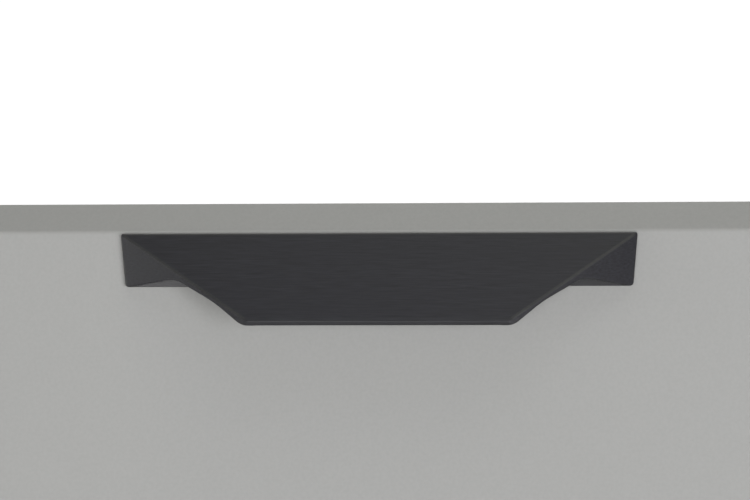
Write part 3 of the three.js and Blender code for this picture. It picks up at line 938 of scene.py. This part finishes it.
def add_runners(number):
    for side_name, side in SIDES:
        cabinet, middle, drawer = (f"runner_{part}_{number}_{side_name}" for part in RUNNER_PARTS)
        runner_member(cabinet, side, "carcass", True)
        runner_member(middle, side, f"runner_middle_{number}", True)
        runner_member(drawer, side, f"drawer_{number}", False)
        front, back = (end.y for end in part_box(middle))
        half_way = (front + back) / 2
        ball_rows(number, side_name, cabinet, middle, (half_way, back), "outer")
        ball_rows(number, side_name, middle, drawer, (front, half_way), "inner")
        runner_screws(number, side_name, side)


# ------------------------------------------------------------------ drawers

SIDE_ARRIS = 0.6 * MM
SIDE_TOP_ARRIS = 2.5 * MM
SIDE_END_ARRIS = 0.25 * MM


def drawer_side(number, side_name, side):
    """A drawer side with the groove that takes the bottom's edge."""
    node = f"drawer_side_{number}_{side_name}"
    low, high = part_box(node)
    bottom_low, bottom_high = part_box(f"drawer_bottom_{number}")
    outer, inner = (low.x, high.x) if side < 0 else (high.x, low.x)
    groove_floor = (bottom_low.x if side < 0 else bottom_high.x) + side * FIT
    outline = [
        (outer, low.z, SIDE_ARRIS),
        (inner, low.z, SIDE_ARRIS),
        (inner, bottom_low.z - FIT, 0.0),
        (groove_floor, bottom_low.z - FIT, 0.0),
        (groove_floor, bottom_high.z + FIT, 0.0),
        (inner, bottom_high.z + FIT, 0.0),
        (inner, high.z, SIDE_TOP_ARRIS),
        (outer, high.z, SIDE_TOP_ARRIS),
    ]
    if side > 0:
        outline.reverse()
    mesh = profile_mesh(node, outline, "y", low.y, high.y, SIDE_END_ARRIS, steps=4)
    even_normals(add_piece(f"{node}_board", mesh, f"drawer_{number}", "drawer_board", [node]))


CAM_FROM_FRONT = 24 * MM
CAM_FROM_BOTTOM = 45 * MM
CAM_FROM_TOP = 40 * MM
CAM_RADIUS = 7.2 * MM
CAM_SOCKET = 1.6 * MM
CAM_DEPTH = 8.0 * MM


def drawer_cams(number):
    """The cam fittings that draw the front on to the sides: two discs let into each side's inner face."""
    profile = [(0.0, -0.4 * MM), (CAM_SOCKET, -0.4 * MM), (2.6 * MM, 0.1 * MM), (6.6 * MM, 0.15 * MM),
               (CAM_RADIUS, -0.3 * MM), (CAM_RADIUS, -CAM_DEPTH), (0.0, -CAM_DEPTH)]
    discs = []
    for side_name, side in SIDES:
        low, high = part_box(f"drawer_side_{number}_{side_name}")
        inner = high.x if side < 0 else low.x
        for z in (low.z + CAM_FROM_BOTTOM, high.z - CAM_FROM_TOP):
            discs.append(turned_mesh("cam", profile, (inner, low.y + CAM_FROM_FRONT, z), (-side, 0, 0),
                                     40, CAM_SOCKET))
    name = f"drawer_cams_{number}"
    add_piece(name, joined(name, discs), f"drawer_{number}", "zinc_plate")


SHANK_RADIUS = 2.0 * MM
HEAD_HEIGHT = 2.4 * MM
PLAIN_SHANK = 8.0 * MM    # from the head to the thread
THREAD_PITCH = 0.7 * MM
SCREW_SOCKET = 1.7 * MM
SOCKET_DEPTH = 1.5 * MM


def pull_screw(number, side_name):
    """A pan-head machine screw with its thread as rings along the shank."""
    node = f"handle_screw_{number}_{side_name}"
    low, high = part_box(node)
    radius = (high.x - low.x) / 2
    head_seat = high.y - HEAD_HEIGHT
    thread = []
    y = head_seat - PLAIN_SHANK
    while y > low.y + 1.2 * MM:
        thread += [(SHANK_RADIUS, y), (SHANK_RADIUS - THREAD_PITCH / 2, y - THREAD_PITCH / 2)]
        y -= THREAD_PITCH
    # From the tip along the thread, over the head and down into its socket.
    profile = [(0.0, low.y), (SHANK_RADIUS - 0.5 * MM, low.y), *reversed(thread),
               (SHANK_RADIUS, head_seat), (radius - 0.15 * MM, head_seat), (radius, head_seat + 0.4 * MM),
               (radius - 0.15 * MM, high.y - 1.2 * MM), (radius - 1.0 * MM, high.y - 0.3 * MM),
               (radius - 1.8 * MM, high.y), (SCREW_SOCKET, high.y - 0.05 * MM),
               (SCREW_SOCKET, high.y - SOCKET_DEPTH), (0.0, high.y - SOCKET_DEPTH)]
    middle = ((low.x + high.x) / 2, 0, (low.z + high.z) / 2)
    mesh = turned_mesh(node, profile, middle, (0, 1, 0), 48, SCREW_SOCKET)
    add_piece(f"pull_screw_{number}_{side_name}", mesh, f"drawer_{number}", "zinc_plate", [node])


PAD_RADIUS = 4.0 * MM
PAD_TOP_RADIUS = 3.3 * MM
PAD_RIM = 1.0 * MM
PAD_THICKNESS = 1.8 * MM
PAD_INSET = 30 * MM       # from the front's upper and lower edges


def bumpers(number):
    """Soft pads on the front's back, where it meets the carcass's edges."""
    low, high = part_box(f"drawer_front_{number}")
    panel_low, panel_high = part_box("side_panel_right")
    x = (panel_low.x + panel_high.x) / 2
    profile = [(0.0, 0.0), (PAD_RADIUS, 0.0), (PAD_RADIUS, PAD_RIM),
               (PAD_TOP_RADIUS, PAD_THICKNESS - 0.2 * MM), (0.0, PAD_THICKNESS)]
    pads = [turned_mesh("pad", profile, (side * x, high.y, z), (0, 1, 0))
            for _, side in SIDES for z in (low.z + PAD_INSET, high.z - PAD_INSET)]
    add_piece(f"bumpers_{number}", joined(f"bumpers_{number}", pads), f"drawer_{number}", "black_plastic")


def add_drawer(number):
    body = f"drawer_{number}"
    drawer_front(number)
    for side_name, side in SIDES:
        drawer_side(number, side_name, side)
    board(f"drawer_bottom_{number}", body, "drawer_board", 0.3 * MM)
    board(f"drawer_back_{number}", body, "drawer_board", 1.5 * MM)
    board(f"drawer_brace_{number}", body, "drawer_board", 0.5 * MM, "y")
    drawer_cams(number)
    for side_name, _ in SIDES:
        pull_screw(number, side_name)
    bumpers(number)
    add_runners(number)


# ------------------------------------------------------------------ stage, lights, camera

FLOOR_RADIUS = 14.0


def add_floor():
    mesh = bpy.data.meshes.new("studio_floor")
    bm = bmesh.new()
    bmesh.ops.create_circle(bm, cap_ends=True, radius=FLOOR_RADIUS, segments=96)
    bm.to_mesh(mesh)
    bm.free()
    mesh.materials.append(studio_floor("studio_floor"))
    floor = bpy.data.objects.new("studio_floor", mesh)
    bpy.context.scene.collection.objects.link(floor)


# Soft lights round the top pull: name, azimuth (0 is straight in front, 90 is to the right), elevation,
# distance, size, power and colour. The last three light the sides, the back and the top.
NEUTRAL = (1.0, 1.0, 1.0)
WARM = (1.0, 1.005, 0.955)
WARM_HIGH = (1.0, 1.005, 0.86)
COOL_HIGH = (0.95, 0.97, 1.14)
COOL = (0.99, 0.99, 1.03)
LIGHTS = (
    ("left", -75, -3, 3.0, 1.0, 13, WARM),
    ("front", -12, -3, 3.0, 0.9, 12, NEUTRAL),
    ("low_left", -16, -11, 3.0, 0.8, 10, NEUTRAL),
    ("right_key", 30, -3, 3.0, 1.0, 26, COOL),
    ("low_right", 45, -12, 3.0, 0.9, 8, NEUTRAL),
    ("low_front", 0, -33, 1.0, 0.4, 0.6, NEUTRAL),
    ("high_left", -50, 58, 3.0, 1.2, 1, WARM_HIGH),
    ("high_front", 0, 58, 3.0, 1.2, 4, COOL_HIGH),
    ("high_right", 50, 58, 3.0, 1.2, 7, WARM_HIGH),
    ("overhead", 0, 85, 3.0, 1.6, 7, WARM_HIGH),
    ("rear_left", -125, 8, 4.0, 1.8, 40, NEUTRAL),
    ("rear_right", 125, 8, 4.0, 1.8, 40, NEUTRAL),
    ("rear_top", 180, 42, 4.0, 2.2, 60, NEUTRAL),
)
WORLD_LIGHT = 0.10
PAPER_WHITE = 1.05


def area_light(name, azimuth, elevation, distance, size, energy, color):
    light = bpy.data.lights.new(name, "AREA")
    light.shape = "SQUARE"
    light.size = size
    light.energy = energy
    light.color = color
    lamp = bpy.data.objects.new(name, light)
    bpy.context.scene.collection.objects.link(lamp)
    a, e = math.radians(azimuth), math.radians(elevation)
    away = Vector((math.sin(a) * math.cos(e), -math.cos(a) * math.cos(e), math.sin(e)))
    lamp.location = Vector((0.0, PULL_FRONT.y, PULL_FRONT.z)) + away * distance
    lamp.rotation_euler = (-away).to_track_quat("-Z", "Y").to_euler()
    lamp.visible_camera = False


def add_world():
    """Seen directly it is white paper; as light it is a dim grey room."""
    world = bpy.data.worlds.new("studio")
    bpy.context.scene.world = world
    world.use_nodes = True
    nodes, links = world.node_tree.nodes, world.node_tree.links
    nodes.clear()
    room = nodes.new("ShaderNodeBackground")
    room.inputs["Color"].default_value = (*WARM, 1.0)
    room.inputs["Strength"].default_value = WORLD_LIGHT
    paper = nodes.new("ShaderNodeBackground")
    paper.inputs["Color"].default_value = (1.0, 1.0, 1.0, 1.0)
    paper.inputs["Strength"].default_value = PAPER_WHITE
    path = nodes.new("ShaderNodeLightPath")
    choose = nodes.new("ShaderNodeMixShader")
    links.new(path.outputs["Is Camera Ray"], choose.inputs["Fac"])
    links.new(room.outputs[0], choose.inputs[1])
    links.new(paper.outputs[0], choose.inputs[2])
    output = nodes.new("ShaderNodeOutputWorld")
    links.new(choose.outputs[0], output.inputs["Surface"])


def add_lights():
    add_world()
    for row in LIGHTS:
        area_light(*row)


# Camera, from the middle of the top pull's top edge: level, a little to the right of the pull's
# middle and turned back towards it.
CAMERA_OFFSET = Vector((15.2 * MM, -482.4 * MM, -5.7 * MM))
CAMERA_TURN = math.radians(1.92)
CAMERA_ROLL = math.radians(0.2)
CAMERA_LENS = 69.6


def add_camera():
    data = bpy.data.cameras.new("camera")
    data.lens = CAMERA_LENS
    data.sensor_width = 36.0
    data.clip_start = 0.01
    data.clip_end = 60.0
    camera = bpy.data.objects.new("camera", data)
    bpy.context.scene.collection.objects.link(camera)
    level = Matrix.Rotation(math.pi / 2, 4, "X")
    turn = Matrix.Rotation(CAMERA_TURN, 4, "Z")
    roll = Matrix.Rotation(-CAMERA_ROLL, 4, "Z")
    camera.matrix_world = Matrix.Translation(PULL_FRONT + CAMERA_OFFSET) @ turn @ level @ roll
    bpy.context.scene.camera = camera


def use_standard_view():
    view = bpy.context.scene.view_settings
    view.view_transform = "Standard"
    view.look = "None"
    view.exposure = 0.0
    view.gamma = 1.0


# ------------------------------------------------------------------ build

add_carcass()
for drawer_number in DRAWERS:
    add_drawer(drawer_number)
add_pulls()
add_floor()
add_lights()
add_camera()
use_standard_view()
